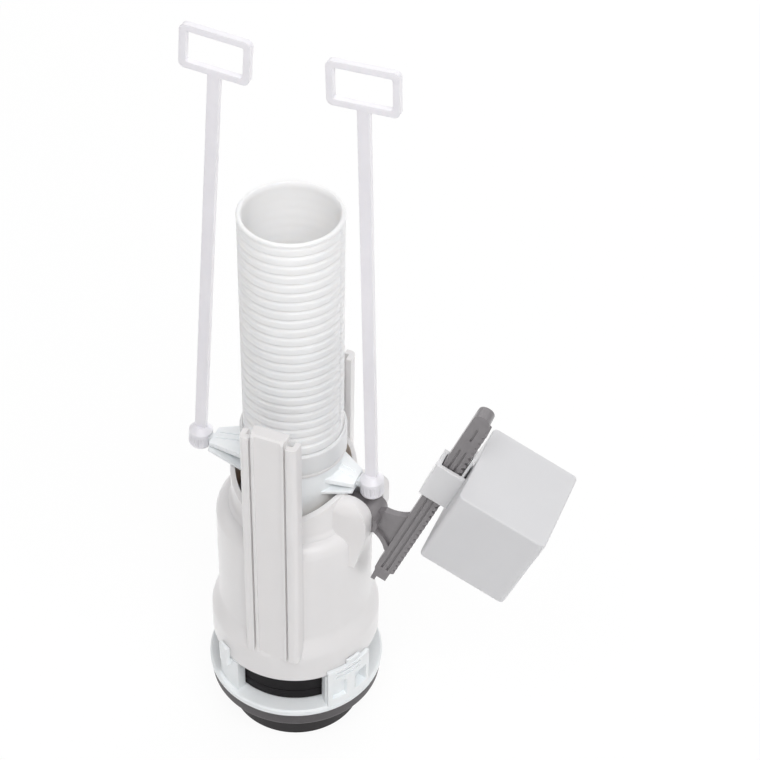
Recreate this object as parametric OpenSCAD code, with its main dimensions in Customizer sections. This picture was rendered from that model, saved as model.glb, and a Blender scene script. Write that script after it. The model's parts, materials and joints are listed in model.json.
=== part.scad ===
/* [Outlet] */
// Outside radius of the sleeve that enters the cistern outlet
sleeve_r = 31.1; // [29:0.1:33]
// Wall of the sleeve
sleeve_wall = 2.6; // [2:0.1:4]
// Length of the sleeve below the gasket
sleeve_drop = 16.3; // [12:0.1:25]
// Outside radius of the flange gasket
gasket_r = 40; // [38:0.1:44]
// Thickness of the flange gasket
gasket_h = 8.3; // [6:0.1:12]

/* [Seat basket] */
// How far the basket flange stands past the gasket
flange_lip = 0.9; // [0.2:0.1:3]
// Thickness of the basket flange
flange_h = 3; // [2:0.1:5]
// Wall of the spigot inside the sleeve
spigot_wall = 3.5; // [2.5:0.1:4.5]
// Height of the valve seat above the flange
seat_rise = 2.3; // [1.5:0.1:4]
// Height of the water windows
window_h = 18.6; // [14:0.1:26]
// Half of the angle that a plain post takes up
post_half_angle = 11; // [8:0.5:16]
// Half of the angle that a latch block takes up
latch_half_angle = 18; // [14:0.5:22]
// Direction of the first plain post
post_angle = -122; // [-130:1:-115]
// Thickness of the posts
post_t = 4.6; // [3.5:0.1:6]
// Thickness of the hooks outside the skirt
hook_t = 1.9; // [1.2:0.1:3]
// How far the hooks reach up the skirt
hook_rise = 7.5; // [5:0.1:10]

/* [Bell housing] */
// Outside radius of the bell
bell_r = 35; // [34:0.1:37]
// Wall of the bell
bell_wall = 2.2; // [1.8:0.1:3]
// How far the skirt stands past the bell
skirt_step = 3.8; // [3:0.1:5]
// Height of the skirt
skirt_h = 14; // [11:0.1:24]
// Height of the slope from the skirt to the bell
skirt_taper_h = 12; // [8:0.1:16]
// Height from the window to the start of the shoulder
bell_h = 74; // [70:0.5:90]
// Outside radius of the neck
neck_r = 28; // [27.4:0.1:29]
// Height from the start of the shoulder to the neck rim
neck_rise = 25.8; // [22:0.1:32]
// Radius of the bow that lowers the rim towards the rails
rim_bow_r = 37; // [34:0.5:45]
// Half width of a guide rail
rail_half_w = 12.9; // [11.6:0.1:15]
// Depth of a guide rail above the bell
rail_depth = 6.4; // [5.6:0.1:8]
// Distance of the rail faces from the axis
rail_face = 38.5; // [37.5:0.1:41]
// Wall of the rails
rail_wall = 2.4; // [1.8:0.1:3]
// Height of the front rail above the neck rim
front_rail_rise = 51; // [30:0.5:70]
// Height of the back rail above the neck rim
back_rail_rise = 43; // [30:0.5:70]
// Width of the two grooves along the face of a rail
rail_groove_w = 1; // [0.6:0.1:1.6]
// Depth of the two grooves along the face of a rail
rail_groove_depth = 1.8; // [1:0.1:2]
// How far the front rail stands beside the middle, towards the float
front_rail_shift = 4.8; // [0:0.1:6]
// How far the back rail stands beside the middle, towards the float
back_rail_shift = 0.6; // [0:0.1:6]
// Height of the neck's back above the rest of its rim
back_rim_rise = 3.4; // [1:0.1:5]

/* [Valve stem] */
// Outside radius of the stem
stem_r = 18.6; // [17.8:0.1:19]
// Wall of the stem
stem_wall = 2.2; // [1.6:0.1:3]
// Height of the lift flange above the neck rim
lift_flange_rise = 14.2; // [13:0.1:20]
// Radius of the lift flange and the tube collar
collar_r = 23.2; // [22.9:0.1:24.5]
// Thickness of the lift flange
lift_flange_h = 2; // [1.5:0.1:3]
// Height of the stem above the lift flange
stem_rise = 66; // [50:1:80]
// How far the valve lifts
valve_lift = 10; // [6:0.5:14]
// Thickness of the seal washer
washer_h = 3.2; // [2:0.1:5]
// Radius of the seal washer
washer_r = 32; // [30:0.1:32.8]
// Height of the seal carrier
carrier_h = 18.6; // [12:0.1:20]
// Radius of the lift float
lift_float_r = 30.3; // [28:0.1:30.6]

/* [Overflow tube] */
// Outside radius of the ribs
rib_r = 21.7; // [21.4:0.1:22]
// Depth of the ribs
rib_depth = 1.1; // [0.6:0.1:1.2]
// Distance from rib to rib
rib_pitch = 4.587; // [4:0.001:6]
// Number of ribs
rib_count = 23; // [12:1:26]
// Height of the plain foot below the ribs
tube_foot_h = 15; // [12:0.1:20]
// Height of the tube collar
collar_h = 10.8; // [8:0.1:14]
// Thinnest wall of the tube
tube_wall = 1.1; // [0.8:0.1:1.2]

/* [Lift arms and pull rods] */
// Reach of the full flush arm
full_reach = 45; // [42:0.1:50]
// Reach of the half flush arm
half_reach = 36.8; // [36:0.1:40]
// Half width of an arm's lower plate at the stem
arm_root_half_w = 14; // [12:0.1:15]
// Half width of an arm's lower plate near its tip
arm_tip_half_w = 6.6; // [5:0.1:6.8]
// Height of an arm at the stem
arm_root_h = 9.2; // [8:0.1:11]
// Height of an arm near its tip
arm_tip_h = 4.2; // [4:0.1:5]
// Thickness of an arm's lower plate
arm_plate = 1.4; // [1.2:0.1:1.6]
// Thickness of an arm's upper plate
arm_top_plate = 2.2; // [1.6:0.1:2.3]
// Radius of the pin at an arm's tip
tip_pin_r = 2; // [1.6:0.1:2.4]
// Distance from the tip pin to the middle of the pull loop
rod_length = 202.5; // [150:0.5:260]
// Width of a pull rod
rod_w = 5; // [4:0.1:7]
// Thickness of a pull rod
rod_t = 2.6; // [2:0.1:4]
// Outside width of a pull loop
loop_w = 29.5; // [26:0.5:40]
// Outside height of a pull loop
loop_h = 19.3; // [17:0.1:30]
// Thickness of the loop bars
loop_bar = 2.8; // [2.7:0.1:4]
// Radius of the round foot of a pull rod
knob_r = 5.3; // [5:0.1:5.8]
// Lean of the full flush rod towards the tube
full_lean = 4.2; // [0:0.1:5]
// Lean of the half flush rod towards the tube
half_lean = 1.9; // [0:0.1:3]

/* [Float arm] */
// Distance of the float pivot from the bell wall
pivot_out = 1; // [0.5:0.1:3]
// Height of the neck rim above the float pivot
pivot_drop = 15; // [14:0.1:18]
// Radius of the pivot boss
boss_r = 6; // [5:0.1:6.5]
// Radius of the pivot pin
pivot_pin_r = 2; // [1.5:0.1:2.5]
// Lean of the rack with the float down
float_lean = 21.5; // [10:0.5:25]
// Distance from the pivot to the near edge of the rack
rack_in = 14.8; // [13.5:0.1:18]
// Width of the rack without its teeth
rack_w = 7.4; // [6:0.1:9]
// Thickness of the rack
rack_t = 6.4; // [6.2:0.1:9]
// Height of the rack teeth
tooth_h = 1.4; // [1:0.1:2.2]
// Distance from tooth to tooth
tooth_pitch = 3.6; // [3:0.1:7]
// Length of the rack below the pivot
rack_below = 31; // [24:0.5:34]
// Length of the rack above the pivot
rack_above = 90; // [80:0.5:100]

/* [Float] */
// Length of the float away from the rack
float_l = 41.2; // [34:0.1:46]
// Width of the float
float_w = 45.2; // [36:0.1:50]
// Height of the float
float_h = 43.9; // [36:0.1:46]
// Wall of the float
float_wall = 1.8; // [1.2:0.1:2.5]
// Height of the float's top above the pivot
float_top = 63; // [58:0.5:68]
// Height of the carriage that rides the rack
carriage_h = 20.5; // [14:0.1:26]
// Distance from the float's top to the carriage
carriage_drop = 9; // [4:0.1:14]
// Wall of the carriage
carriage_wall = 1.8; // [1.4:0.1:2.4]

/* [Clearances] */
// Gap between the seal and the seat at rest
seat_gap = 0.3; // [0.2:0.05:0.5]
// Gap between pieces that slide past each other
slide_gap = 0.4; // [0.3:0.05:0.6]
// Radial gap of the running pins
pin_gap = 0.06; // [0.03:0.01:0.1]
// Radial gap between the overflow tube's foot and the stem
foot_gap = 0.08; // [0.03:0.01:0.1]
// Radial gap between the overflow tube and its collar
collar_gap = 0.1; // [0.05:0.01:0.1]

/* [Hidden] */
$fn = 96;
// Overrun of a cut past the face that it opens
cut = 1;

// Levels from the outlet's end upwards
flange_z = sleeve_drop + gasket_h;
floor_z = flange_z + flange_h;
seat_z = floor_z + seat_rise;
washer_z = seat_z + seat_gap;
carrier_z = washer_z + washer_h;
lift_float_z = carrier_z + carrier_h;
bell_z = floor_z + window_h;
shoulder_z = bell_z + bell_h;
rim_z = shoulder_z + neck_rise;
lift_flange_z = rim_z + lift_flange_rise;
collar_z = lift_flange_z + lift_flange_h;
tube_z = collar_z + slide_gap;
rib_z = tube_z + tube_foot_h;
tube_top_z = rib_z + rib_count * rib_pitch;
stem_top_z = collar_z + stem_rise;
lift_float_room = 1.2;
lift_float_h = shoulder_z - valve_lift - lift_float_room - lift_float_z;
nut_h = 3.6;
nut_z = washer_z - nut_h;

// Basket radii
gasket_step = 1;
gasket_in_r = sleeve_r - gasket_step;
flange_r = gasket_r + flange_lip;
spigot_r = sleeve_r - sleeve_wall;
outlet_bore_r = spigot_r - spigot_wall;
skirt_r = bell_r + skirt_step;
post_inset = 0.4;
post_r = skirt_r - post_inset;
post_in_r = post_r - post_t;
carrier_room = 0.6;
carrier_r = post_in_r - carrier_room;
skirt_in_r = skirt_r - bell_wall;
hook_gap = 0.1;
tongue_r = skirt_in_r - hook_gap;
tongue_rise = 9;
hook_in_r = skirt_r + hook_gap;
hook_out_r = hook_in_r + hook_t;
latch_turn = 94;
latch_angle = post_angle + latch_turn;

// Bell profile
bell_in_r = bell_r - bell_wall;
neck_in_r = neck_r - bell_wall;
shoulder_round = bell_r - neck_r;
rim_flat = 1.6;
rim_bow_z = rim_z - rim_bow_r + rim_flat;
front_rail_z = rim_z + front_rail_rise;
back_rail_z = rim_z + back_rail_rise;
rail_foot_rise = 16;
rail_foot_z = bell_z + rail_foot_rise;
rail_edge_round = 2.5;
rail_groove_x = 0.61 * rail_half_w;
rail_panel_half_w = 0.47 * rail_half_w;
rail_panel_depth = 0.5;
rail_root_depth = 11;
rail_strip_drop = 3;

// Float pivot, bracket and rack
pivot_x = bell_r + pivot_out;
pivot_z = rim_z - pivot_drop;
boss_half_w = 6.5;
cheek_in = boss_half_w + slide_gap;
cheek_out = cheek_in + 7.3;
cheek_top_z = rim_z - 0.4;
cheek_end_x = pivot_x + 3.6;
cheek_round = 9.6;
cheek_foot_z = pivot_z - 22;
pivot_pin_half = cheek_in + 4.6;
rack_out = rack_in + rack_w + tooth_h;
pawl_room = 2.6;
float_in = rack_out + pawl_room;
gusset_u = 3;
gusset_low_r = 13.8;
gusset_low_v = -boss_r - gusset_low_r + 0.2;
gusset_high_r = 14;
gusset_high_v = boss_r + gusset_high_r + 1.5;
carriage_top = float_top - carriage_drop;

// Arms and rods
saddle_t = 2.9;
saddle_r = stem_r + saddle_t;
saddle_h = 26;
arm_room = 0.6;
arm_z = rim_z + arm_room;
tip_rise = 1.9;
tip_z = arm_z + tip_rise;
tongue_half_t = 2;
tongue_room = 0.35;
knob_room = 1.2;
knob_drop = 4.8;
knob_rise = 6;
pin_inset = 1.2;
bore_skin = 0.9;

// Points of an arc about a centre, from one angle to another
function arc(x, y, r, from, to, steps) =
  [for (i = [0 : steps]) let (a = from + (to - from) * i / steps) [x + r * cos(a), y + r * sin(a)]];

// A ring between two radii
module ring(r_in, r_out, low, high) {
  translate([0, 0, low])
    difference() {
      cylinder(r = r_out, h = high - low);
      translate([0, 0, -cut]) cylinder(r = r_in, h = high - low + 2 * cut);
    }
}

// A stretch of a ring about a direction
module sector(r_in, r_out, low, high, middle, half_angle) {
  rotate([0, 0, middle - half_angle])
    rotate_extrude(angle = 2 * half_angle)
      translate([r_in, low]) square([r_out - r_in, high - low]);
}

// A flat outline in the XZ plane, given a width along Y
module upright(half_w) {
  rotate([90, 0, 0]) translate([0, 0, -half_w]) linear_extrude(2 * half_w) children();
}

// A round bar along Y
module cross_bar(r, half_w) {
  rotate([90, 0, 0]) translate([0, 0, -half_w]) cylinder(r = r, h = 2 * half_w);
}

// A rectangle with true round corners
module round_rect(x0, y0, x1, y1, r) {
  translate([x0 + r, y0]) square([x1 - x0 - 2 * r, y1 - y0]);
  translate([x0, y0 + r]) square([x1 - x0, y1 - y0 - 2 * r]);
  for (x = [x0 + r, x1 - r], y = [y0 + r, y1 - r]) translate([x, y]) circle(r = r);
}

// Places what the float arm carries, leaning about its pivot
module at_pivot() {
  translate([pivot_x, 0, pivot_z]) rotate([0, float_lean, 0]) children();
}

module outlet_sleeve() {
  color([0.16, 0.15, 0.15])
    rotate_extrude()
      polygon([[spigot_r, 0], [sleeve_r, 0], [sleeve_r, sleeve_drop], [gasket_in_r, sleeve_drop],
        [gasket_in_r, flange_z], [spigot_r, flange_z]]);
}

// Rubber ring whose bore opens below, so that its lower face stays clear of the sleeve
module flange_gasket() {
  lower_round = 2.4;
  lower_room = 0.3;
  color([0.22, 0.2, 0.21])
    rotate_extrude()
      polygon(concat([[sleeve_r + lower_room, sleeve_drop]],
        arc(gasket_r - lower_round, sleeve_drop + lower_round, lower_round, -90, 0, 6),
        [[gasket_r, flange_z], [gasket_in_r, flange_z],
          [gasket_in_r, sleeve_drop + gasket_step + lower_room]]));
}

// A turned profile, swept about a direction
module swept(middle, half_angle) {
  rotate([0, 0, middle - half_angle]) rotate_extrude(angle = 2 * half_angle) children();
}

// Post: a foot under the skirt's edge with a tongue inside the skirt
module basket_post(middle, half_angle) {
  swept(middle, half_angle)
    polygon([[post_in_r, floor_z - cut], [post_r, floor_z - cut], [post_r, bell_z], [tongue_r, bell_z],
      [tongue_r, bell_z + tongue_rise], [post_in_r, bell_z + tongue_rise]]);
}

// Hook outside a post, up over the skirt
module basket_hook(middle, half_angle, low, high) {
  swept(middle, half_angle)
    polygon([[post_r - cut, low], [hook_out_r, low], [hook_out_r, high], [hook_in_r, high],
      [hook_in_r, bell_z - seat_gap], [post_r - cut, bell_z - seat_gap]]);
}

// Latch block: a post with a thick hook, a pocket on each side, two slots in its top plate and a tab on top
module latch_block(middle) {
  plate_h = 4.2;
  pocket_rise = 4;
  pocket_half = latch_half_angle * 0.3;
  tab_h = 3;
  difference() {
    union() {
      basket_post(middle, latch_half_angle);
      basket_hook(middle, latch_half_angle - 0.6, floor_z - cut / 2, bell_z + plate_h);
      sector(hook_in_r + 0.2, hook_out_r - 0.4, bell_z + plate_h - cut, bell_z + plate_h + tab_h,
        middle + latch_half_angle * 0.15, latch_half_angle * 0.3);
    }
    for (side = [-1, 1])
      sector(side > 0 ? post_r - 2 : post_r + 0.2, hook_out_r + cut, floor_z + pocket_rise, bell_z - plate_h,
        middle + side * latch_half_angle * 0.5, pocket_half);
    for (slot_z = [bell_z - 1.2, bell_z + 1.6])
      sector(hook_out_r - 1, hook_out_r + cut, slot_z, slot_z + 1, middle - latch_half_angle * 0.1,
        latch_half_angle * 0.55);
  }
}

module seat_basket() {
  seat_w = 2.6;
  color([0.9, 0.92, 0.93]) {
    rotate_extrude()
      polygon([[outlet_bore_r, 1], [spigot_r, 1], [spigot_r, flange_z], [flange_r, flange_z],
        [flange_r, floor_z - 0.8], [flange_r - 0.8, floor_z], [spigot_r, floor_z],
        [outlet_bore_r + seat_w, seat_z], [outlet_bore_r, seat_z]]);
    for (turn = [0, 180]) {
      basket_post(post_angle + turn, post_half_angle);
      basket_hook(post_angle + turn, post_half_angle * 0.4, bell_z - hook_t - 1.6, bell_z + hook_rise);
      latch_block(latch_angle + turn);
    }
  }
}

// Section of a guide rail, with its face towards -Y
module rail_section() {
  face = -rail_face;
  back = -rail_face + rail_depth;
  difference() {
    polygon(concat(
      arc(-rail_half_w + rail_edge_round, face + rail_edge_round, rail_edge_round, 180, 270, 6),
      arc(rail_half_w - rail_edge_round, face + rail_edge_round, rail_edge_round, 270, 360, 6),
      [[rail_half_w, back], [-rail_half_w, back]]));
    for (side = [-1, 1])
      translate([side * rail_groove_x - rail_groove_w / 2, face - cut])
        square([rail_groove_w, rail_groove_depth + cut]);
    translate([-rail_panel_half_w, face - cut]) square([2 * rail_panel_half_w, rail_panel_depth + cut]);
  }
}

// Guide rail: rooted in the bell, hollow behind above it, with a closed top and lower outer strips
module rail(top_z, shift) {
  bevel = 1;
  inset = 0.5;
  hollow_z = shoulder_z + 11;
  translate([shift, 0, 0]) {
    difference() {
      translate([0, 0, rail_foot_z]) linear_extrude(top_z - rail_foot_z) rail_section();
      translate([-rail_half_w + rail_wall, -rail_face + rail_wall + rail_panel_depth, hollow_z])
        cube([2 * rail_half_w - 2 * rail_wall, rail_depth, top_z - rail_wall - hollow_z]);
      translate([0, -rail_face, top_z]) rotate([45, 0, 0])
        cube([2 * rail_half_w + 2 * cut, 2 * bevel, 2 * bevel], center = true);
      for (side = [-1, 1])
        translate([side > 0 ? rail_groove_x : -rail_half_w - cut, -rail_face - cut, top_z - rail_strip_drop])
          cube([rail_half_w - rail_groove_x + cut, rail_depth + 2 * cut, rail_strip_drop + cut]);
    }
    translate([-rail_half_w + inset, -rail_face + rail_depth - 2, rail_foot_z + inset])
      cube([2 * (rail_half_w - inset), rail_root_depth - rail_depth + 2, shoulder_z + 2 - rail_foot_z]);
  }
}

// Soft slope from the skirt up to the bell, as radius past the bell and height
function skirt_slope(r, z) =
  [for (i = [0 : 10]) [r + skirt_step * (0.5 + 0.5 * cos(18 * i)), z + skirt_taper_h * i / 10]];

// Filled outside of the bell, from the skirt to the foot of the neck
module bell_outside() {
  edge = 0.8;
  rotate_extrude()
    polygon(concat([[0, bell_z], [skirt_r - edge, bell_z], [skirt_r, bell_z + 2]],
      skirt_slope(bell_r, bell_z + skirt_h),
      arc(bell_r - shoulder_round, shoulder_z, shoulder_round, 0, 78, 8),
      [[neck_r, shoulder_z + shoulder_round + 3], [0, shoulder_z + shoulder_round + 3]]));
}

// Filled inside of the bell
module bell_inside() {
  inner_round = bell_in_r - neck_in_r;
  rotate_extrude()
    polygon(concat([[0, bell_z - cut], [skirt_in_r, bell_z - cut]],
      skirt_slope(bell_in_r, bell_z + skirt_h - 1),
      arc(bell_in_r - inner_round, shoulder_z, inner_round, 0, 90, 8),
      [[neck_in_r, rim_z + back_rim_rise + cut], [0, rim_z + back_rim_rise + cut]]));
}

// Neck whose rim bows down towards the rails and stands higher at the back
module neck_outside() {
  wide = neck_r + cut;
  back_y = 8;
  back_half_x = 19;
  back_end_x = 24.2;
  intersection() {
    translate([0, 0, shoulder_z]) cylinder(r = neck_r, h = rim_z + back_rim_rise - shoulder_z);
    union() {
      intersection() {
        translate([0, 0, rim_bow_z]) rotate([0, 90, 0]) cylinder(r = rim_bow_r, h = 2 * wide, center = true);
        translate([-wide, -wide, shoulder_z - cut]) cube([2 * wide, 2 * wide, rim_z - shoulder_z + cut]);
      }
      translate([0, neck_r, 0]) upright(neck_r - back_y)
        polygon([[-back_end_x, shoulder_z + cut], [back_end_x, shoulder_z + cut], [back_end_x, rim_z - 1.2],
          [back_half_x, rim_z + back_rim_rise + cut], [-back_half_x, rim_z + back_rim_rise + cut],
          [-back_end_x, rim_z - 1.2]]);
    }
  }
}

// Float bracket: a rounded hump on the side of the bell, seen from the side and from the end
module bracket() {
  root_x = neck_in_r - 2;
  end_round = 7;
  intersection() {
    upright(cheek_out + cut)
      polygon(concat([[root_x, cheek_foot_z], [bell_r - 0.4, cheek_foot_z], [cheek_end_x, pivot_z - 3]],
        arc(cheek_end_x - cheek_round, cheek_top_z - cheek_round, cheek_round, 0, 90, 8),
        [[root_x, cheek_top_z]]));
    rotate([90, 0, 90])
      linear_extrude(cheek_end_x + cut)
        polygon(concat([[-cheek_out, cheek_foot_z - cut], [cheek_out, cheek_foot_z - cut]],
          arc(cheek_out - end_round, cheek_top_z + 0.2 - end_round, end_round, 0, 90, 8),
          arc(end_round - cheek_out, cheek_top_z + 0.2 - end_round, end_round, 90, 180, 8)));
  }
}

module bell_housing() {
  color([0.93, 0.925, 0.92])
    difference() {
      union() {
        bell_outside();
        neck_outside();
        rail(front_rail_z, front_rail_shift);
        rotate([0, 0, 180]) rail(back_rail_z, -back_rail_shift);
        bracket();
      }
      bell_inside();
      // Pocket between the cheeks for the float arm and its catch
      translate([stem_r, -cheek_in, pivot_z - boss_r - 2])
        cube([bell_r, 2 * cheek_in, rim_z]);
      translate([pivot_x, 0, pivot_z]) cross_bar(pivot_pin_r, pivot_pin_half);
    }
}

module float_arm_pin() {
  color([0.88, 0.88, 0.87])
    translate([pivot_x, 0, pivot_z]) cross_bar(pivot_pin_r, pivot_pin_half);
}

module valve_stem() {
  color([0.86, 0.86, 0.85])
    difference() {
      union() {
        translate([0, 0, nut_z]) cylinder(r = stem_r, h = stem_top_z - nut_z);
        translate([0, 0, lift_flange_z]) cylinder(r = collar_r, h = lift_flange_h);
      }
      translate([0, 0, nut_z - cut]) cylinder(r = stem_r - stem_wall, h = stem_top_z - nut_z + 2 * cut);
    }
}

// Air bell round the stem, open below, that keeps the valve up while the cistern empties
module lift_float() {
  skin = 1.5;
  color([0.9, 0.9, 0.88])
    difference() {
      ring(stem_r, lift_float_r, lift_float_z, lift_float_z + lift_float_h);
      ring(stem_r + skin, lift_float_r - skin, lift_float_z - cut, lift_float_z + lift_float_h - skin);
    }
}

module seal_carrier() {
  plate_h = 3.6;
  hub_r = stem_r + 2.4;
  skin = 2;
  color([0.12, 0.11, 0.12])
    difference() {
      ring(stem_r, carrier_r, carrier_z, lift_float_z);
      ring(hub_r, lift_float_r - skin, carrier_z + plate_h, lift_float_z + cut);
    }
}

module seal_washer() {
  edge_round = washer_h / 2;
  color([0.16, 0.15, 0.16])
    rotate_extrude()
      polygon(concat([[stem_r, washer_z]],
        arc(washer_r - edge_round, washer_z + edge_round, edge_round, -90, 90, 8),
        [[stem_r, washer_z + washer_h]]));
}

module seal_nut() {
  nut_r = outlet_bore_r - 1.5;
  color([0.9, 0.9, 0.9])
    difference() {
      translate([0, 0, nut_z]) cylinder(r = nut_r, h = nut_h, $fn = 12);
      translate([0, 0, nut_z - cut]) cylinder(r = stem_r, h = nut_h + 2 * cut);
    }
}

module tube_collar() {
  edge = 0.9;
  collar_in_r = rib_r + collar_gap;
  color([0.92, 0.93, 0.93])
    rotate_extrude()
      polygon([[collar_in_r, collar_z], [collar_r, collar_z], [collar_r, collar_z + collar_h - edge],
        [collar_r - edge, collar_z + collar_h], [collar_in_r, collar_z + collar_h]]);
}

// Half saddle round the stem, from the lift flange down
module saddle(side) {
  half_angle = 89.5;
  sector(stem_r, saddle_r, lift_flange_z - saddle_h, lift_flange_z, side > 0 ? 0 : 180, half_angle);
}

// Plan of an arm's plate, narrower by an inset
module arm_plan(near_x, far_x, inset) {
  polygon([[near_x, inset - arm_root_half_w], [far_x, inset - arm_tip_half_w], [far_x, arm_tip_half_w - inset],
    [near_x, arm_root_half_w - inset]]);
}

// Cantilever arm: a ridged sloping plate over a flat one, a web between them, a tongue and a pin at the tip
module lift_arm(reach) {
  root_x = 0.76 * stem_r;
  neck_x = reach - knob_r - knob_room;
  inset = 1.4;
  web_half = 1.2;
  ridge_y = 1.8;
  ridge_depth = 0.5;
  fall = (arm_root_h - arm_tip_h) / (neck_x - root_x);
  high = arm_z + arm_root_h + fall * cut;
  low = arm_z + arm_tip_h - fall * cut;
  difference() {
    union() {
      translate([0, 0, arm_z]) linear_extrude(arm_plate) arm_plan(root_x, neck_x, 0);
      intersection() {
        translate([0, 0, arm_z + arm_plate]) linear_extrude(arm_root_h) arm_plan(root_x, neck_x, inset);
        upright(arm_root_half_w)
          polygon([[root_x - cut, high - arm_top_plate], [neck_x + cut, low - arm_top_plate], [neck_x + cut, low],
            [root_x - cut, high]]);
      }
      upright(web_half)
        polygon([[root_x, arm_z + arm_plate / 2], [neck_x - web_half, arm_z + arm_plate / 2],
          [neck_x - web_half, low - arm_top_plate / 2], [root_x, high - arm_top_plate]]);
    }
    translate([0, 0, arm_z - cut]) cylinder(r = stem_r + saddle_t / 2, h = arm_root_h + 3 * cut);
    for (side = [-1, 1])
      translate([0, side * ridge_y, 0]) upright(ridge_depth)
        polygon([[root_x - cut, high - ridge_depth], [neck_x - 2, low + fall * (2 + cut) - ridge_depth],
          [neck_x - 2, high], [root_x - cut, high + cut]]);
  }
  translate([neck_x - cut, 0.2 - tongue_half_t, arm_z + 0.2])
    cube([reach - neck_x + cut, 2 * tongue_half_t - 0.4, arm_tip_h - cut]);
  translate([reach, 0, tip_z]) {
    cross_bar(tip_pin_r, knob_r - pin_inset);
    cross_bar(tip_pin_r + 0.8, tongue_half_t);
  }
}

module full_flush_arm() {
  color([0.92, 0.925, 0.92]) {
    saddle(-1);
    mirror([1, 0, 0]) lift_arm(full_reach);
  }
}

module half_flush_arm() {
  color([0.92, 0.925, 0.92]) {
    saddle(1);
    lift_arm(half_reach);
  }
}

// Ribbed tube: each rib has a sharp lower face, a sloped upper face and a shallow hollow behind it
module overflow_tube() {
  root_r = rib_r - rib_depth;
  bore_r = root_r - tube_wall;
  foot_in_r = stem_r + foot_gap;
  notch = 0.7;
  edge = 0.15;
  slope = 1;
  hollow = 0.5;
  rim_h = 1.8;
  rim_step = 0.4;
  outside = [for (i = [0 : rib_count - 1]) let (z = rib_z + i * rib_pitch)
    each [[root_r, z], [root_r, z + notch], [rib_r, z + notch + edge], [rib_r, z + rib_pitch - slope]]];
  inside = [for (i = [rib_count - 1 : -1 : 0]) let (z = rib_z + i * rib_pitch)
    each [[bore_r, z + rib_pitch - slope / 2], [bore_r + hollow, z + rib_pitch - 1.5 * slope],
      [bore_r + hollow, z + notch + slope], [bore_r, z + notch]]];
  color([0.95, 0.95, 0.945])
    rotate_extrude()
      polygon(concat([[foot_in_r, tube_z], [rib_r, tube_z], [rib_r, rib_z - slope]], outside,
        [[root_r, tube_top_z], [rib_r + 0.1, tube_top_z + rim_step], [rib_r + 0.1, tube_top_z + rim_h],
          [bore_r + 0.3, tube_top_z + rim_h]],
        inside, [[bore_r, rib_z - slope], [foot_in_r, rib_z - 2 * slope]]));
}

// Round foot of a pull rod about its tip pin, with a sloped shoulder
module knob() {
  low_round = 1.8;
  shoulder = 2.4;
  rotate_extrude()
    polygon(concat([[0, -knob_drop]], arc(knob_r - low_round, low_round - knob_drop, low_round, -90, 0, 5),
      [[knob_r, knob_rise - shoulder], [knob_r - shoulder, knob_rise], [0, knob_rise]]));
}

// Pull rod, upright over its tip pin, with the tongue's pocket towards -X and a loop on top
module pull_rod() {
  outer_corner = 2.6;
  inner_corner = 1;
  pocket_half_h = 3.4;
  pocket_past = 3.2;
  pocket_half_t = tongue_half_t + tongue_room;
  flute_r = 0.6;
  flute_depth = 0.35;
  flute_low = 2.8;
  flute_h = 4.4;
  difference() {
    union() {
      knob();
      translate([-rod_w / 2, -rod_t / 2, knob_rise - cut])
        cube([rod_w, rod_t, rod_length - loop_h / 2 - knob_rise + cut + loop_bar / 2]);
    }
    translate([-knob_r - cut, -pocket_half_t, -pocket_half_h])
      cube([knob_r + cut + pocket_past, 2 * pocket_half_t, 2 * pocket_half_h]);
    cross_bar(tip_pin_r + pin_gap, knob_r - bore_skin);
    for (turn = [-120 : 20 : 120])
      rotate([0, 0, turn]) translate([knob_r + flute_r - flute_depth, 0, -flute_low])
        cylinder(r = flute_r, h = flute_h, $fn = 24);
  }
  translate([0, 0, rod_length]) upright(loop_bar / 2)
    difference() {
      round_rect(-loop_w / 2, -loop_h / 2, loop_w / 2, loop_h / 2, outer_corner);
      round_rect(-loop_w / 2 + loop_bar, -loop_h / 2 + loop_bar, loop_w / 2 - loop_bar, loop_h / 2 - loop_bar,
        inner_corner);
    }
}

module full_flush_rod() {
  color([0.88, 0.87, 0.9])
    mirror([1, 0, 0]) translate([full_reach, 0, tip_z]) rotate([0, -full_lean, 0]) pull_rod();
}

module half_flush_rod() {
  color([0.88, 0.87, 0.9])
    translate([half_reach, 0, tip_z]) rotate([0, -half_lean, 0]) pull_rod();
}

// Outline of the toothed rack, with a round top
module rack_outline() {
  rack_far = rack_in + rack_w;
  tooth_count = floor((rack_above + rack_below - 12) / tooth_pitch);
  first = -rack_below + 6;
  top_round = 0.45 * rack_w;
  union() {
    polygon(concat([[rack_in + 2, -rack_below], [rack_far, -rack_below]],
      [for (i = [0 : tooth_count - 1]) let (z = first + i * tooth_pitch)
        each [[rack_far, z], [rack_out, z + 0.3 * tooth_pitch], [rack_out, z + 0.6 * tooth_pitch],
          [rack_far, z + 0.8 * tooth_pitch]]],
      [[rack_far, rack_above - top_round]],
      arc(rack_far - top_round, rack_above - top_round, top_round, 0, 90, 5),
      arc(rack_in + top_round, rack_above - top_round, top_round, 90, 180, 5),
      [[rack_in, -rack_below + 5]]));
    // Stop peg under the near edge
    translate([rack_in + 1, -rack_below - 3]) square([2, 8]);
  }
}

// Arm between the pivot boss and the rack, with hollowed edges
module gusset_outline(near_u, far_u, low_r) {
  difference() {
    polygon([[near_u, -5], [far_u, -14], [far_u, 17], [near_u, 5.4]]);
    translate([gusset_u - 1, gusset_low_v]) circle(r = low_r);
    translate([gusset_u + 1, gusset_high_v]) circle(r = gusset_high_r);
  }
}

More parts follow.
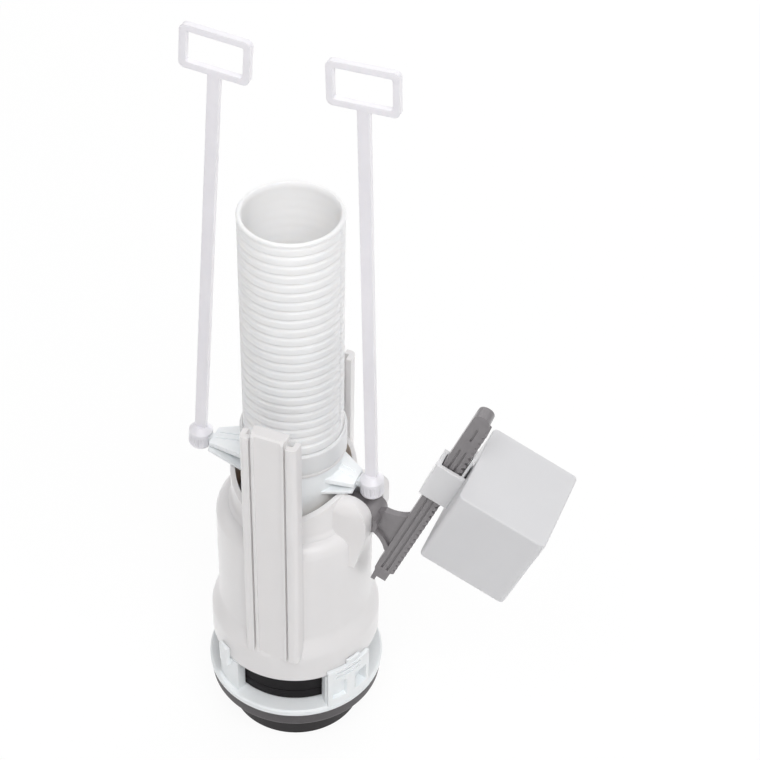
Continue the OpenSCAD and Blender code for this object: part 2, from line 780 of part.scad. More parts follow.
module float_arm() {
  web_half = 1.6;
  flange_half = 3;
  flange_w = 2.2;
  overlap = 0.2;
  groove_depth = 0.8;
  groove_w = 0.9;
  mark_l = 8;
  catch_half = 4;
  catch_reach = 12.4;
  color([0.42, 0.41, 0.41])
    at_pivot()
      difference() {
        union() {
          cross_bar(boss_r, boss_half_w);
          upright(web_half) gusset_outline(gusset_u, rack_in + cut, gusset_low_r);
          // Raised edge along the lower curve
          upright(flange_half)
            intersection() {
              gusset_outline(gusset_u + overlap, rack_in + cut - overlap, gusset_low_r - overlap);
              translate([gusset_u - 1, gusset_low_v]) circle(r = gusset_low_r + flange_w);
            }
          upright(rack_t / 2) rack_outline();
          // Catch finger that reaches through the neck towards the stem
          upright(catch_half)
            polygon([[0, -4], [0, 4], [-catch_reach + 2, 3], [-catch_reach, 0], [-catch_reach, -2.5]]);
        }
        cross_bar(pivot_pin_r + pin_gap, boss_half_w + cut);
        for (side = [-1, 1]) {
          // Long grooves in both broad faces of the rack
          for (u = [rack_in + 0.3 * rack_w, rack_in + 0.66 * rack_w])
            translate([u, side * rack_t / 2 - groove_depth, -rack_below + 7])
              cube([groove_w, 2 * groove_depth, rack_above + rack_below - 30]);
          // Short mark near the top
          translate([rack_in + 0.5 * rack_w, side * rack_t / 2 - groove_depth, rack_above - mark_l - 8])
            cube([groove_w, 2 * groove_depth, mark_l]);
        }
      }
}

// Clip round the rack that carries the float, with a springy pawl over the teeth
module float_carriage() {
  near = rack_in - slide_gap;
  side_in = rack_t / 2 + slide_gap;
  pawl_u = rack_out + slide_gap;
  pawl_t = 1.2;
  pawl_rise = 11;
  low = carriage_top - carriage_h;
  color([0.94, 0.945, 0.945])
    at_pivot() {
      difference() {
        translate([near - carriage_wall, -side_in - carriage_wall, low])
          cube([float_in - near + carriage_wall, 2 * (side_in + carriage_wall), carriage_h]);
        translate([near, -side_in, low - cut]) cube([float_in, 2 * side_in, carriage_h + 2 * cut]);
      }
      translate([pawl_u, -side_in, carriage_top - 4]) cube([pawl_t, 2 * side_in, 4]);
      translate([pawl_u, -3.5, carriage_top - cut]) cube([pawl_t, 7, pawl_rise + cut]);
    }
}

module float_box() {
  corner = 2.2;
  low = float_top - float_h;
  color([0.9, 0.91, 0.92])
    at_pivot()
      difference() {
        translate([0, 0, low]) linear_extrude(float_h)
          round_rect(float_in, -float_w / 2, float_in + float_l, float_w / 2, corner);
        translate([0, 0, low - cut]) linear_extrude(float_h - float_wall + cut)
          round_rect(float_in + float_wall, -float_w / 2 + float_wall, float_in + float_l - float_wall,
            float_w / 2 - float_wall, corner - float_wall / 2);
      }
}

module float_cap() {
  corner = 2.2;
  low = float_top - float_h;
  color([0.88, 0.89, 0.9])
    at_pivot()
      translate([0, 0, low]) linear_extrude(float_wall)
        round_rect(float_in + float_wall, -float_w / 2 + float_wall, float_in + float_l - float_wall,
          float_w / 2 - float_wall, corner - float_wall / 2);
}

outlet_sleeve();
flange_gasket();
seat_basket();
bell_housing();
float_arm_pin();
valve_stem();
lift_float();
seal_carrier();
seal_washer();
seal_nut();
tube_collar();
full_flush_arm();
half_flush_arm();
overflow_tube();
full_flush_rod();
half_flush_rod();
float_arm();
float_carriage();
float_box();
float_cap();
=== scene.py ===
import json
import math

import bmesh
import bpy
from mathutils import Matrix, Vector

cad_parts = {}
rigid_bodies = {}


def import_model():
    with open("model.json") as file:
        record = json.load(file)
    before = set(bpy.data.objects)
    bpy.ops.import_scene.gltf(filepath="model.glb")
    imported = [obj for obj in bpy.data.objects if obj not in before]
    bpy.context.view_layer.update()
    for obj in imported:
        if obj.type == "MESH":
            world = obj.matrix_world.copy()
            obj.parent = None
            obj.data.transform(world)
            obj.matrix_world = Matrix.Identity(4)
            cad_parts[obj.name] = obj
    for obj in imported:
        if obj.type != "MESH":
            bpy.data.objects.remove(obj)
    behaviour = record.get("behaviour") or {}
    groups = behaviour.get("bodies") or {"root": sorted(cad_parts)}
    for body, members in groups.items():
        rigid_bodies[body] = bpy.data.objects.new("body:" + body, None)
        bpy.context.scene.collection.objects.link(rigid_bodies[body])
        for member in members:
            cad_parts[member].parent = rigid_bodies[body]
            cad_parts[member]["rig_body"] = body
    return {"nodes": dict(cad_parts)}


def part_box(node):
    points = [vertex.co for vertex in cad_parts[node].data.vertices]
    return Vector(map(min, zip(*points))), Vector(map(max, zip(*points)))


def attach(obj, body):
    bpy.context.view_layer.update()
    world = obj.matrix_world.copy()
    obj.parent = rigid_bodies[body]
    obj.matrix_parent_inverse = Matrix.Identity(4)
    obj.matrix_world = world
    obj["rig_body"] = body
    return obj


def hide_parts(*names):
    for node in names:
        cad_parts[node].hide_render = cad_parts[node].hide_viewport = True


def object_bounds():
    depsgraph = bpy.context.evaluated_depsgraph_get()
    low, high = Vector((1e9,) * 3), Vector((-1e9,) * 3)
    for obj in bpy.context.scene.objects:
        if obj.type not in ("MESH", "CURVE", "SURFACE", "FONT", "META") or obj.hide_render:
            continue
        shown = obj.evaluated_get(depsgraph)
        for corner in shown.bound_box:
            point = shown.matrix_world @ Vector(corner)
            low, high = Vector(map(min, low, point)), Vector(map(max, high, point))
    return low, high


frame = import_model()
cad_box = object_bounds()

# Studio: a white table in a light tent. The camera stands where the photographer stood, high in front of
# the valve and a little to the float's side. The table is bright, and keeps only a faint shadow.
camera_spot = Vector((0.26358, -0.59201, 0.77292))
camera_heading = math.radians(20.751)
camera_tilt = math.radians(48.358)
camera_roll = math.radians(1.438)
camera_lens = 97.24
camera_film = 36
camera_data = bpy.data.cameras.new("photographer")
camera_data.lens = camera_lens
camera_data.sensor_width = camera_film
camera = bpy.data.objects.new("photographer", camera_data)
camera.matrix_world = (
    Matrix.Translation(camera_spot)
    @ Matrix.Rotation(camera_heading, 4, "Z")
    @ Matrix.Rotation(camera_tilt, 4, "X")
    @ Matrix.Rotation(camera_roll, 4, "Z")
)
bpy.context.scene.collection.objects.link(camera)
bpy.context.scene.camera = camera
bpy.context.scene.view_settings.view_transform = "Standard"

table_half = 4.0
table_drop = 0.0003
table_corners = [(x * table_half, y * table_half, 0) for x, y in ((-1, -1), (1, -1), (1, 1), (-1, 1))]
table_mesh = bpy.data.meshes.new("table_top")
table_mesh.from_pydata(table_corners, [], [(0, 1, 2, 3)])
table_top = bpy.data.objects.new("table_top", table_mesh)
table_top.location.z = cad_box[0].z - table_drop
bpy.context.scene.collection.objects.link(table_top)


def ray_mask(tree, kinds):
    """One for a ray of any of these kinds, and nought for every other ray."""
    path = tree.nodes.new("ShaderNodeLightPath")
    mask = path.outputs[kinds[0]]
    for kind in kinds[1:]:
        either = tree.nodes.new("ShaderNodeMath")
        either.operation = "MAXIMUM"
        tree.links.new(mask, either.inputs[0])
        tree.links.new(path.outputs[kind], either.inputs[1])
        mask = either.outputs[0]
    return mask


straight_view = ["Is Camera Ray"]
any_view = ["Is Camera Ray", "Is Glossy Ray", "Is Transmission Ray"]
table_lit = 0.86
table_shadow_depth = 0.09
table_glow = 0.92
table_paint = bpy.data.materials.new("table_white")
table_paint.use_nodes = True
table_tree = table_paint.node_tree
table_tree.nodes.clear()
table_tone = table_tree.nodes.new("ShaderNodeMix")
table_tone.data_type = "RGBA"
table_tone.inputs["A"].default_value = (table_lit, table_lit, table_lit, 1)
table_tone.inputs["B"].default_value = (table_shadow_depth, table_shadow_depth, table_shadow_depth, 1)
matt = table_tree.nodes.new("ShaderNodeBsdfDiffuse")
lift = table_tree.nodes.new("ShaderNodeMath")
lift.operation = "MULTIPLY"
lift.inputs[1].default_value = table_glow
glow = table_tree.nodes.new("ShaderNodeEmission")
matt_and_glow = table_tree.nodes.new("ShaderNodeAddShader")
table_out = table_tree.nodes.new("ShaderNodeOutputMaterial")
table_tree.links.new(ray_mask(table_tree, straight_view), table_tone.inputs["Factor"])
table_tree.links.new(table_tone.outputs["Result"], matt.inputs["Color"])
table_tree.links.new(ray_mask(table_tree, any_view), lift.inputs[0])
table_tree.links.new(lift.outputs[0], glow.inputs["Strength"])
table_tree.links.new(matt.outputs[0], matt_and_glow.inputs[0])
table_tree.links.new(glow.outputs[0], matt_and_glow.inputs[1])
table_tree.links.new(matt_and_glow.outputs[0], table_out.inputs["Surface"])
table_mesh.materials.append(table_paint)

cloth_white = (1.0, 0.985, 0.985, 1)
cloth_light = 0.24
wall_white = (1, 1, 1, 1)
wall_light = 1
tent = bpy.data.worlds.new("light_tent")
tent.use_nodes = True
bpy.context.scene.world = tent
tent_tree = tent.node_tree
tent_tree.nodes.clear()
tent_cloth = tent_tree.nodes.new("ShaderNodeBackground")
tent_cloth.inputs["Color"].default_value = cloth_white
tent_cloth.inputs["Strength"].default_value = cloth_light
white_wall = tent_tree.nodes.new("ShaderNodeBackground")
white_wall.inputs["Color"].default_value = wall_white
white_wall.inputs["Strength"].default_value = wall_light
cloth_or_wall = tent_tree.nodes.new("ShaderNodeMixShader")
tent_out = tent_tree.nodes.new("ShaderNodeOutputWorld")
tent_tree.links.new(ray_mask(tent_tree, any_view), cloth_or_wall.inputs["Fac"])
tent_tree.links.new(tent_cloth.outputs[0], cloth_or_wall.inputs[1])
tent_tree.links.new(white_wall.outputs[0], cloth_or_wall.inputs[2])
tent_tree.links.new(cloth_or_wall.outputs[0], tent_out.inputs["Surface"])

lamp_target = Vector((0.02, 0, 0.15))


def softbox(name, spot, width, height, power):
    """A large soft lamp that looks at the middle of the valve."""
    lamp_data = bpy.data.lights.new(name, "AREA")
    lamp_data.shape = "RECTANGLE"
    lamp_data.size = width
    lamp_data.size_y = height
    lamp_data.energy = power
    lamp = bpy.data.objects.new(name, lamp_data)
    aim = lamp_target - Vector(spot)
    lamp.matrix_world = Matrix.Translation(spot) @ aim.to_track_quat("-Z", "Y").to_matrix().to_4x4()
    bpy.context.scene.collection.objects.link(lamp)


softbox("high_softbox", spot=(0.25, -0.75, 1.35), width=0.9, height=0.7, power=9.0)
softbox("right_softbox", spot=(0.85, -0.6, 1.3), width=0.9, height=0.7, power=6.5)
softbox("left_softbox", spot=(-1.15, -0.2, 0.6), width=0.9, height=1.2, power=1.8)
softbox("back_softbox", spot=(0.0, 1.3, 0.7), width=1.6, height=1.2, power=11.0)


# Outlet sleeve: the black collar that goes down into the cistern's outlet hole. It is moulded from
# hard plastic in one ring, with a step behind the gasket, and it is screwed on the basket's spigot.
def moulded_skin_group():
    """Colour, gloss and height of a moulded surface: broad flow clouds, fine mould grain and a few specks."""
    cloud_detail = 5
    cloud_raggedness = 0.6
    cloud_start = 0.3
    cloud_full = 0.7
    grain_detail = 3
    speck_reach = 0.16
    speck_grey = (0.5, 0.5, 0.5, 1)
    group = bpy.data.node_groups.new("moulded_skin", "ShaderNodeTree")
    face = group.interface
    for label, kind in [
        ("Colour", "NodeSocketColor"),
        ("Cloud Colour", "NodeSocketColor"),
        ("Clouds Per Metre", "NodeSocketFloat"),
        ("Grains Per Metre", "NodeSocketFloat"),
        ("Roughness Low", "NodeSocketFloat"),
        ("Roughness High", "NodeSocketFloat"),
        ("Speck Amount", "NodeSocketFloat"),
    ]:
        face.new_socket(label, in_out="INPUT", socket_type=kind)
    face.new_socket("Colour", in_out="OUTPUT", socket_type="NodeSocketColor")
    face.new_socket("Roughness", in_out="OUTPUT", socket_type="NodeSocketFloat")
    face.new_socket("Height", in_out="OUTPUT", socket_type="NodeSocketFloat")
    node = group.nodes
    link = group.links.new
    given = node.new("NodeGroupInput")
    result = node.new("NodeGroupOutput")
    place = node.new("ShaderNodeTexCoord")
    clouds = node.new("ShaderNodeTexNoise")
    clouds.inputs["Detail"].default_value = cloud_detail
    clouds.inputs["Roughness"].default_value = cloud_raggedness
    grain = node.new("ShaderNodeTexNoise")
    grain.inputs["Detail"].default_value = grain_detail
    specks = node.new("ShaderNodeTexVoronoi")
    link(place.outputs["Object"], clouds.inputs["Vector"])
    link(place.outputs["Object"], grain.inputs["Vector"])
    link(place.outputs["Object"], specks.inputs["Vector"])
    link(given.outputs["Clouds Per Metre"], clouds.inputs["Scale"])
    link(given.outputs["Grains Per Metre"], grain.inputs["Scale"])
    link(given.outputs["Grains Per Metre"], specks.inputs["Scale"])
    cloud_range = node.new("ShaderNodeMapRange")
    cloud_range.inputs["From Min"].default_value = cloud_start
    cloud_range.inputs["From Max"].default_value = cloud_full
    link(clouds.outputs["Fac"], cloud_range.inputs["Value"])
    clouded = node.new("ShaderNodeMix")
    clouded.data_type = "RGBA"
    link(cloud_range.outputs["Result"], clouded.inputs["Factor"])
    link(given.outputs["Colour"], clouded.inputs["A"])
    link(given.outputs["Cloud Colour"], clouded.inputs["B"])
    speck_edge = node.new("ShaderNodeMath")
    speck_edge.operation = "LESS_THAN"
    speck_edge.inputs[1].default_value = speck_reach
    link(specks.outputs["Distance"], speck_edge.inputs[0])
    speck_mask = node.new("ShaderNodeMath")
    speck_mask.operation = "MULTIPLY"
    link(speck_edge.outputs[0], speck_mask.inputs[0])
    link(given.outputs["Speck Amount"], speck_mask.inputs[1])
    specked = node.new("ShaderNodeMix")
    specked.data_type = "RGBA"
    specked.inputs["B"].default_value = speck_grey
    link(speck_mask.outputs[0], specked.inputs["Factor"])
    link(clouded.outputs["Result"], specked.inputs["A"])
    roughness = node.new("ShaderNodeMapRange")
    link(grain.outputs["Fac"], roughness.inputs["Value"])
    link(given.outputs["Roughness Low"], roughness.inputs["To Min"])
    link(given.outputs["Roughness High"], roughness.inputs["To Max"])
    link(specked.outputs["Result"], result.inputs["Colour"])
    link(roughness.outputs["Result"], result.inputs["Roughness"])
    link(grain.outputs["Fac"], result.inputs["Height"])
    return group


moulded_skin = moulded_skin_group()
grain_depth = 0.0001
glow_reach = (0.004, 0.0038, 0.0036)


def moulded_material(
    name,
    colour,
    cloud,
    clouds_per_metre,
    grains_per_metre,
    roughness,
    relief,
    specks=0.0,
    glow=0.0,
    sheen=0.5,
):
    """A plastic or rubber whose colour, gloss and fine relief come from the moulded skin."""
    made = bpy.data.materials.new(name)
    made.use_nodes = True
    tree = made.node_tree
    shader = tree.nodes["Principled BSDF"]
    skin = tree.nodes.new("ShaderNodeGroup")
    skin.node_tree = moulded_skin
    skin.inputs["Colour"].default_value = (*colour, 1)
    skin.inputs["Cloud Colour"].default_value = (*cloud, 1)
    skin.inputs["Clouds Per Metre"].default_value = clouds_per_metre
    skin.inputs["Grains Per Metre"].default_value = grains_per_metre
    skin.inputs["Roughness Low"].default_value = roughness[0]
    skin.inputs["Roughness High"].default_value = roughness[1]
    skin.inputs["Speck Amount"].default_value = specks
    bump = tree.nodes.new("ShaderNodeBump")
    bump.inputs["Strength"].default_value = relief
    bump.inputs["Distance"].default_value = grain_depth
    tree.links.new(skin.outputs["Colour"], shader.inputs["Base Color"])
    tree.links.new(skin.outputs["Roughness"], shader.inputs["Roughness"])
    tree.links.new(skin.outputs["Height"], bump.inputs["Height"])
    tree.links.new(bump.outputs["Normal"], shader.inputs["Normal"])
    shader.inputs["Specular IOR Level"].default_value = sheen
    shader.inputs["Subsurface Weight"].default_value = glow
    shader.inputs["Subsurface Radius"].default_value = glow_reach
    shader.inputs["Subsurface Scale"].default_value = 1
    return made


weld_reach = 2e-6
flat_angle = math.radians(0.6)
corner_angle = math.radians(28)


def rounded_copy(node, corner, steps, finish):
    """A CAD node's shape with its corners rounded over by the mould, in a finish of its own."""
    source = frame["nodes"][node].data
    form = bmesh.new()
    corners = [form.verts.new(v.co) for v in source.vertices]
    for side in source.polygons:
        form.faces.new([corners[i] for i in side.vertices])
    bmesh.ops.remove_doubles(form, verts=form.verts, dist=weld_reach)
    bmesh.ops.dissolve_limit(form, angle_limit=flat_angle, verts=form.verts, edges=form.edges)
    mesh = bpy.data.meshes.new(node + "_moulding")
    form.to_mesh(mesh)
    form.free()
    mesh.shade_smooth()
    mesh.materials.append(finish)
    piece = bpy.data.objects.new(node + "_moulding", mesh)
    bpy.context.scene.collection.objects.link(piece)
    edge = piece.modifiers.new("mould_radius", "BEVEL")
    edge.width = corner
    edge.segments = steps
    edge.limit_method = "ANGLE"
    edge.angle_limit = corner_angle
    edge.miter_outer = "MITER_ARC"
    flat = piece.modifiers.new("flat_faces", "WEIGHTED_NORMAL")
    flat.keep_sharp = True
    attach(piece, frame["nodes"][node]["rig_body"])
    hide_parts(node)
    return piece


black_plastic = moulded_material(
    "black_plastic",
    colour=(0.012, 0.010, 0.011),
    cloud=(0.016, 0.014, 0.015),
    clouds_per_metre=60,
    grains_per_metre=2200,
    roughness=(0.4, 0.6),
    relief=0.12,
    specks=0.01,
    sheen=0.2,
)
rounded_copy("outlet_sleeve", corner=0.0004, steps=2, finish=black_plastic)

# Flange gasket: a thick ring of soft black rubber under the flange, squeezed on the cistern floor. It is
# pressed in a mould that leaves a matt skin, a grey bloom and rounded edges.
black_rubber = moulded_material(
    "black_rubber",
    colour=(0.052, 0.047, 0.050),
    cloud=(0.070, 0.064, 0.068),
    clouds_per_metre=90,
    grains_per_metre=2600,
    roughness=(0.5, 0.75),
    relief=0.25,
    specks=0.10,
)
rounded_copy("flange_gasket", corner=0.0009, steps=3, finish=black_rubber)

# Seat basket: the cool white lower frame, with the flange, the seat and the posts that carry the bell. It
# is one moulding, and its latch blocks lock on the bell's skirt.
basket_white = moulded_material(
    "basket_white",
    colour=(0.93, 0.96, 0.975),
    cloud=(0.885, 0.92, 0.94),
    clouds_per_metre=160,
    grains_per_metre=900,
    roughness=(0.34, 0.5),
    relief=0.10,
    glow=0.3,
)
rounded_copy("seat_basket", corner=0.0003, steps=2, finish=basket_white)

# Bell housing: the tall white shell with its neck, the two guide rails and the bracket of the float arm.
# It is one warm white moulding that drops over the basket's posts, and the pivot pin is pressed into it.
housing_white = moulded_material(
    "housing_white",
    colour=(0.835, 0.82, 0.82),
    cloud=(0.81, 0.795, 0.795),
    clouds_per_metre=25,
    grains_per_metre=1300,
    roughness=(0.3, 0.44),
    relief=0.06,
    glow=0.3,
)
bell = rounded_copy("bell_housing", corner=0.0006, steps=3, finish=housing_white)

# Painted shade: the inner walls of the neck above its foot get a warm beige, painted in for the warm shade
# and the light that comes through the thin walls there.
neck_foot = 0.122
neck_radius = 0.0285
painted_neck_shade = (0.82, 0.71, 0.63)
painted_shade_mask = bell.data.attributes.new("neck_painted_shade", "FLOAT", "FACE")
for side in bell.data.polygons:
    faces_in = side.normal.x * side.center.x + side.normal.y * side.center.y < 0
    within = math.hypot(side.center.x, side.center.y) < neck_radius
    painted_shade_mask.data[side.index].value = 1.0 if faces_in and within and side.center.z > neck_foot else 0.0
# The painted shade is mixed over the housing's own colour wherever the bell's faces carry the mask.
housing_tree = housing_white.node_tree
painted_shade_read = housing_tree.nodes.new("ShaderNodeAttribute")
painted_shade_read.attribute_name = "neck_painted_shade"
painted_shade_tone = housing_tree.nodes.new("ShaderNodeMix")
painted_shade_tone.data_type = "RGBA"
painted_shade_tone.inputs["B"].default_value = (*painted_neck_shade, 1)
housing_shader = housing_tree.nodes["Principled BSDF"]
plain_tone = housing_shader.inputs["Base Color"].links[0].from_socket
housing_tree.links.new(painted_shade_read.outputs["Fac"], painted_shade_tone.inputs["Factor"])
housing_tree.links.new(plain_tone, painted_shade_tone.inputs["A"])
housing_tree.links.new(painted_shade_tone.outputs["Result"], housing_shader.inputs["Base Color"])
rounded_copy("float_arm_pin", corner=0.0003, steps=2, finish=housing_white)

# Valve stem: the plain white tube that runs up the middle, with the lift flange part of the way up, and the
# air bell that keeps the valve open while the cistern empties. Both are moulded, and clipped together.
for stem_piece in ("valve_stem", "lift_float"):
    rounded_copy(stem_piece, corner=0.0004, steps=2, finish=housing_white)


# Seal: the black drum behind the windows, with a thin black lip that hangs round the rubber washer down to
# the flange. The lip is painted shade, a dark sheet that keeps the low part of the windows black. The washer
# shuts the seat, and a ring on the stem clamps it under the drum.
def turned_mesh(name, outlines, around, closed=False):
    """The skin that outlines of (radius, height) points leave when they turn once about the valve's axis."""
    turns = [2 * math.pi * step / around for step in range(around)]
    form = bmesh.new()
    for outline in outlines:
        rings = []
        for radius, height in outline:
            spots = [(radius * math.cos(turn), radius * math.sin(turn), height) for turn in turns]
            rings.append([form.verts.new(spot) for spot in spots])
        pairs = list(zip(rings, rings[1:]))
        if closed:
            pairs.append((rings[-1], rings[0]))
        for lower, upper in pairs:
            for step in range(around):
                after = (step + 1) % around
                form.faces.new((lower[step], lower[after], upper[after], upper[step]))
    mesh = bpy.data.meshes.new(name)
    form.to_mesh(mesh)
    form.free()
    return mesh


# Painted shade: the seal's black is darker and duller than the sleeve's black plastic, so the drum reads as
# dim as the shaded windows around it.
seal_black_shaded = moulded_material(
    "seal_black_shaded",
    colour=(0.006, 0.005, 0.006),
    cloud=(0.009, 0.008, 0.009),
    clouds_per_metre=60,
    grains_per_metre=2200,
    roughness=(0.45, 0.65),
    relief=0.12,
    sheen=0.12,
)
rounded_copy("seal_carrier", corner=0.0004, steps=2, finish=seal_black_shaded)
rounded_copy("seal_washer", corner=0.0003, steps=2, finish=black_rubber)
rounded_copy("seal_nut", corner=0.0004, steps=2, finish=basket_white)

# Painted shade: the lip is a thin black skirt from the drum down to just above the flange, so the windows
# show dark there.
flange_thick = 0.003
lip_room = 0.0005
lip_wall = 0.0009
lip_round = 0.0003
lip_steps = 128
lip_crease = math.radians(50)
drum_low, drum_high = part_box("seal_carrier")
lip_outside = drum_high.x
lip_inside = drum_high.x - lip_wall
lip_top = drum_low.z
lip_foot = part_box("flange_gasket")[1].z + flange_thick + lip_room
lip_outline = [
    (lip_inside, lip_top),
    (lip_inside, lip_foot + lip_round),
    (lip_inside + lip_round, lip_foot),
    (lip_outside - lip_round, lip_foot),
    (lip_outside, lip_foot + lip_round),
    (lip_outside, lip_top),
]
lip_mesh = turned_mesh("seal_lip", [lip_outline], lip_steps, closed=True)
lip_mesh.shade_smooth()
lip_mesh.set_sharp_from_angle(angle=lip_crease)
lip_mesh.materials.append(seal_black_shaded)
seal_lip = bpy.data.objects.new("seal_lip", lip_mesh)
bpy.context.scene.collection.objects.link(seal_lip)
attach(seal_lip, "valve")

# Tube collar: the white ring at the foot of the ribs, which the ribbed tube slides in. It is one plain
# moulding that stands on the lift flange.
tube_white = moulded_material(
    "tube_white",
    colour=(0.985, 0.98, 0.98),
    cloud=(0.965, 0.96, 0.96),
    clouds_per_metre=40,
    grains_per_metre=1500,
    roughness=(0.32, 0.46),
    relief=0.05,
    glow=0.9,
)
rounded_copy("tube_collar", corner=0.0004, steps=3, finish=tube_white)

# Lift arms: two cool white arms, each a flat lower plate and a ridged sloping upper plate on a half saddle.
# They are moulded like the basket and fixed under the lift flange, and a pin at the tip takes the rod.
for arm in ("full_flush_arm", "half_flush_arm"):
    rounded_copy(arm, corner=0.0002, steps=2, finish=basket_white)

# Overflow tube: the ribbed tube that slides up its collar to set the overflow level. Its wall is blown into
# a split mould: each rib has a crisp lower edge, a flat band, a sloping top and a nick at the parting line.
tube_low, tube_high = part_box("overflow_tube")
rim_lip = 0.0001
rim_height = 0.0018
rim_step = 0.0004
rim_round = 0.0004
tube_foot = 0.015
foot_bore = 0.01868
rib_count = 23
rib_depth = 0.0011
rib_notch = 0.0007
rib_edge = 0.00015
rib_slope = 0.001
rib_fillet = 0.00012
rib_hollow = 0.0001
rib_weld = 0.00001
rib_crease = math.radians(38)
parting_nick = 0.0008
tube_wall = 0.0011
tube_steps = 128
rib_radius = tube_high.x - rim_lip
root_radius = rib_radius - rib_depth
bore_radius = root_radius - tube_wall
hollow_radius = bore_radius + rib_hollow
first_rib = tube_low.z + tube_foot
tube_mouth = tube_high.z - rim_height
rib_pitch = (tube_mouth - first_rib) / rib_count
hollow_end = rib_pitch - rib_slope / 2

rib_outside = [
    (root_radius, 0),
    (root_radius, rib_notch),
    (rib_radius - rib_fillet, rib_notch + rib_edge),
    (rib_radius, rib_notch + rib_edge + rib_fillet),
    (rib_radius, rib_pitch - rib_slope - rib_fillet),
    (rib_radius - rib_fillet / 2, rib_pitch - rib_slope + rib_fillet),
    (root_radius, rib_pitch),
]
rib_inside = [
    (bore_radius, rib_pitch),
    (bore_radius, hollow_end),
    (hollow_radius, hollow_end - rib_slope),
    (hollow_radius, rib_notch + rib_slope),
    (bore_radius, rib_notch),
    (bore_radius, 0),
]
rib_mesh = turned_mesh("one_rib", [rib_outside, rib_inside], tube_steps)
for point in rib_mesh.vertices:
    on_parting_line = abs(point.co.y) < rib_fillet / 2
    if on_parting_line and abs(point.co.x) > root_radius + rib_fillet:
        point.co.x -= math.copysign(parting_nick, point.co.x)
one_rib = bpy.data.objects.new("one_rib", rib_mesh)

foot_outline = [
    (bore_radius, first_rib),
    (bore_radius, first_rib - rib_slope),
    (foot_bore, first_rib - 2 * rib_slope),
    (foot_bore, tube_low.z),
    (rib_radius, tube_low.z),
    (rib_radius, first_rib - rib_slope),
    (root_radius, first_rib),
]
mouth_outline = [
    (root_radius, tube_mouth),
    (tube_high.x, tube_mouth + rim_step),
    (tube_high.x, tube_high.z - rim_round),
    (tube_high.x - rim_round, tube_high.z),
    (bore_radius + 2 * rim_round, tube_high.z),
    (bore_radius + rim_round, tube_high.z - rim_round),
    (bore_radius, tube_mouth),
]
ends_mesh = turned_mesh("tube_ends", [foot_outline, mouth_outline], tube_steps)


def rib_stack():
    """Stacks copies of one rib up the axis, and welds them to the foot and the mouth of the tube."""
    stack = bpy.data.node_groups.new("rib_stack", "GeometryNodeTree")
    face = stack.interface
    for label, kind in [
        ("Ends", "NodeSocketGeometry"),
        ("Rib", "NodeSocketObject"),
        ("Rib Count", "NodeSocketInt"),
        ("Rib Pitch", "NodeSocketFloat"),
        ("First Rib", "NodeSocketFloat"),
        ("Weld", "NodeSocketFloat"),
        ("Finish", "NodeSocketMaterial"),
    ]:
        face.new_socket(label, in_out="INPUT", socket_type=kind)
    face.new_socket("Tube", in_out="OUTPUT", socket_type="NodeSocketGeometry")
    node = stack.nodes
    link = stack.links.new
    given = node.new("NodeGroupInput")
    result = node.new("NodeGroupOutput")
    foot_of_stack = node.new("ShaderNodeCombineXYZ")
    link(given.outputs["First Rib"], foot_of_stack.inputs["Z"])
    one_up = node.new("ShaderNodeCombineXYZ")
    link(given.outputs["Rib Pitch"], one_up.inputs["Z"])
    places = node.new("GeometryNodeMeshLine")
    link(given.outputs["Rib Count"], places.inputs["Count"])
    link(foot_of_stack.outputs["Vector"], places.inputs["Start Location"])
    link(one_up.outputs["Vector"], places.inputs["Offset"])
    rib = node.new("GeometryNodeObjectInfo")
    link(given.outputs["Rib"], rib.inputs["Object"])
    copies = node.new("GeometryNodeInstanceOnPoints")
    link(places.outputs["Mesh"], copies.inputs["Points"])
    link(rib.outputs["Geometry"], copies.inputs["Instance"])
    whole = node.new("GeometryNodeJoinGeometry")
    link(copies.outputs["Instances"], whole.inputs["Geometry"])
    link(given.outputs["Ends"], whole.inputs["Geometry"])
    real = node.new("GeometryNodeRealizeInstances")
    link(whole.outputs["Geometry"], real.inputs["Geometry"])
    weld = node.new("GeometryNodeMergeByDistance")
    link(real.outputs["Geometry"], weld.inputs["Geometry"])
    link(given.outputs["Weld"], weld.inputs["Distance"])
    paint = node.new("GeometryNodeSetMaterial")
    link(weld.outputs["Geometry"], paint.inputs["Geometry"])
    link(given.outputs["Finish"], paint.inputs["Material"])
    link(paint.outputs["Geometry"], result.inputs["Tube"])
    return stack


def nodes_to_mesh(name, start_mesh, tree, values):
    """Runs a node tree once on a mesh and keeps the result as a plain mesh object."""
    piece = bpy.data.objects.new(name, start_mesh)
    bpy.context.scene.collection.objects.link(piece)
    maker = piece.modifiers.new(tree.name, "NODES")
    maker.node_group = tree
    for item in tree.interface.items_tree:
        if item.in_out == "INPUT" and item.name in values:
            maker[item.identifier] = values[item.name]
    evaluated = piece.evaluated_get(bpy.context.evaluated_depsgraph_get())
    made = bpy.data.meshes.new_from_object(evaluated)
    piece.modifiers.remove(maker)
    piece.data = made
    return piece


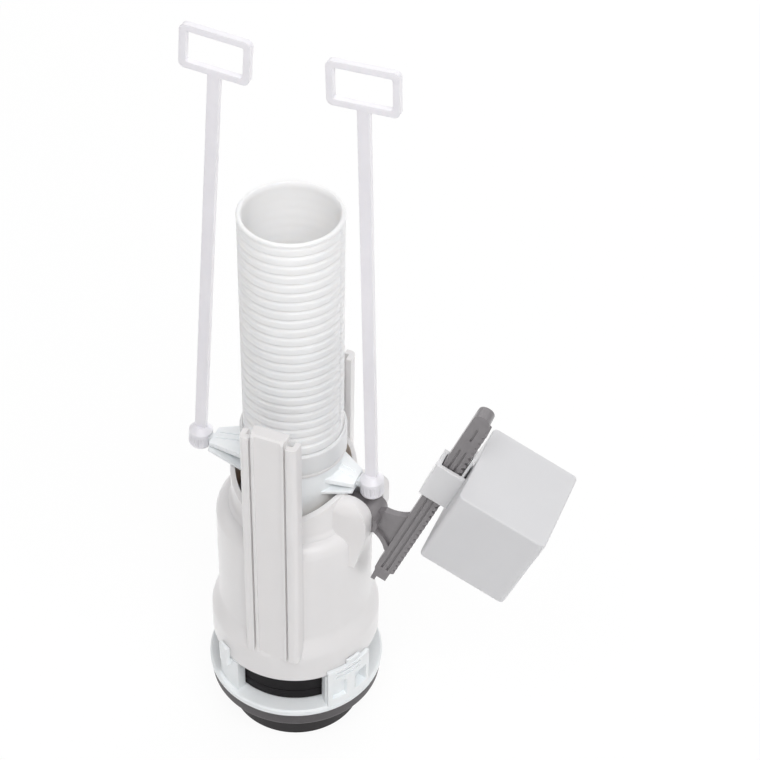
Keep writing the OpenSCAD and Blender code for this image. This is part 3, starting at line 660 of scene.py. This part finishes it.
rib_values = {
    "Rib": one_rib,
    "Rib Count": rib_count,
    "Rib Pitch": rib_pitch,
    "First Rib": first_rib,
    "Weld": rib_weld,
    "Finish": tube_white,
}
overflow_tube = nodes_to_mesh("overflow_tube_ribbed", ends_mesh, rib_stack(), rib_values)
overflow_tube.data.shade_smooth()
overflow_tube.data.set_sharp_from_angle(angle=rib_crease)
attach(overflow_tube, "tube")
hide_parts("overflow_tube")

# Pull rods: slim straight bars of natural plastic with a loop on top for the actuator's hook. Each is one
# moulding, with a round fluted knob at its foot that snaps over the pin of its arm.
rod_natural = moulded_material(
    "rod_natural",
    colour=(0.86, 0.845, 0.885),
    cloud=(0.83, 0.815, 0.86),
    clouds_per_metre=70,
    grains_per_metre=1200,
    roughness=(0.28, 0.42),
    relief=0.06,
    glow=0.4,
)
for rod in ("full_flush_rod", "half_flush_rod"):
    rounded_copy(rod, corner=0.0006, steps=3, finish=rod_natural)

# Float arm: the grey swing arm that turns on the bracket's pin, with a gusset and a long toothed rack. It is
# one stiff moulding, and the teeth on the edge towards the float hold the float's clip at its height.
arm_grey = moulded_material(
    "arm_grey",
    colour=(0.195, 0.183, 0.190),
    cloud=(0.225, 0.212, 0.220),
    clouds_per_metre=80,
    grains_per_metre=1400,
    roughness=(0.3, 0.46),
    relief=0.15,
)
rounded_copy("float_arm", corner=0.0003, steps=2, finish=arm_grey)

# Float: a hollow white box, closed from below by a welded plate, with a clip that runs on the rack. All three
# are thin smooth mouldings, and the clip's pawl stands against the teeth.
float_white = moulded_material(
    "float_white",
    colour=(0.70, 0.70, 0.715),
    cloud=(0.68, 0.68, 0.695),
    clouds_per_metre=30,
    grains_per_metre=1300,
    roughness=(0.34, 0.48),
    relief=0.05,
    glow=0.2,
)
clip_white = moulded_material(
    "clip_white",
    colour=(0.80, 0.80, 0.81),
    cloud=(0.775, 0.775, 0.785),
    clouds_per_metre=60,
    grains_per_metre=1300,
    roughness=(0.34, 0.48),
    relief=0.05,
    glow=0.2,
)
clip = rounded_copy("float_carriage", corner=0.0002, steps=2, finish=clip_white)
clip.modifiers["mould_radius"].use_clamp_overlap = False
rounded_copy("float_box", corner=0.0008, steps=3, finish=float_white)
rounded_copy("float_cap", corner=0.0003, steps=2, finish=float_white)
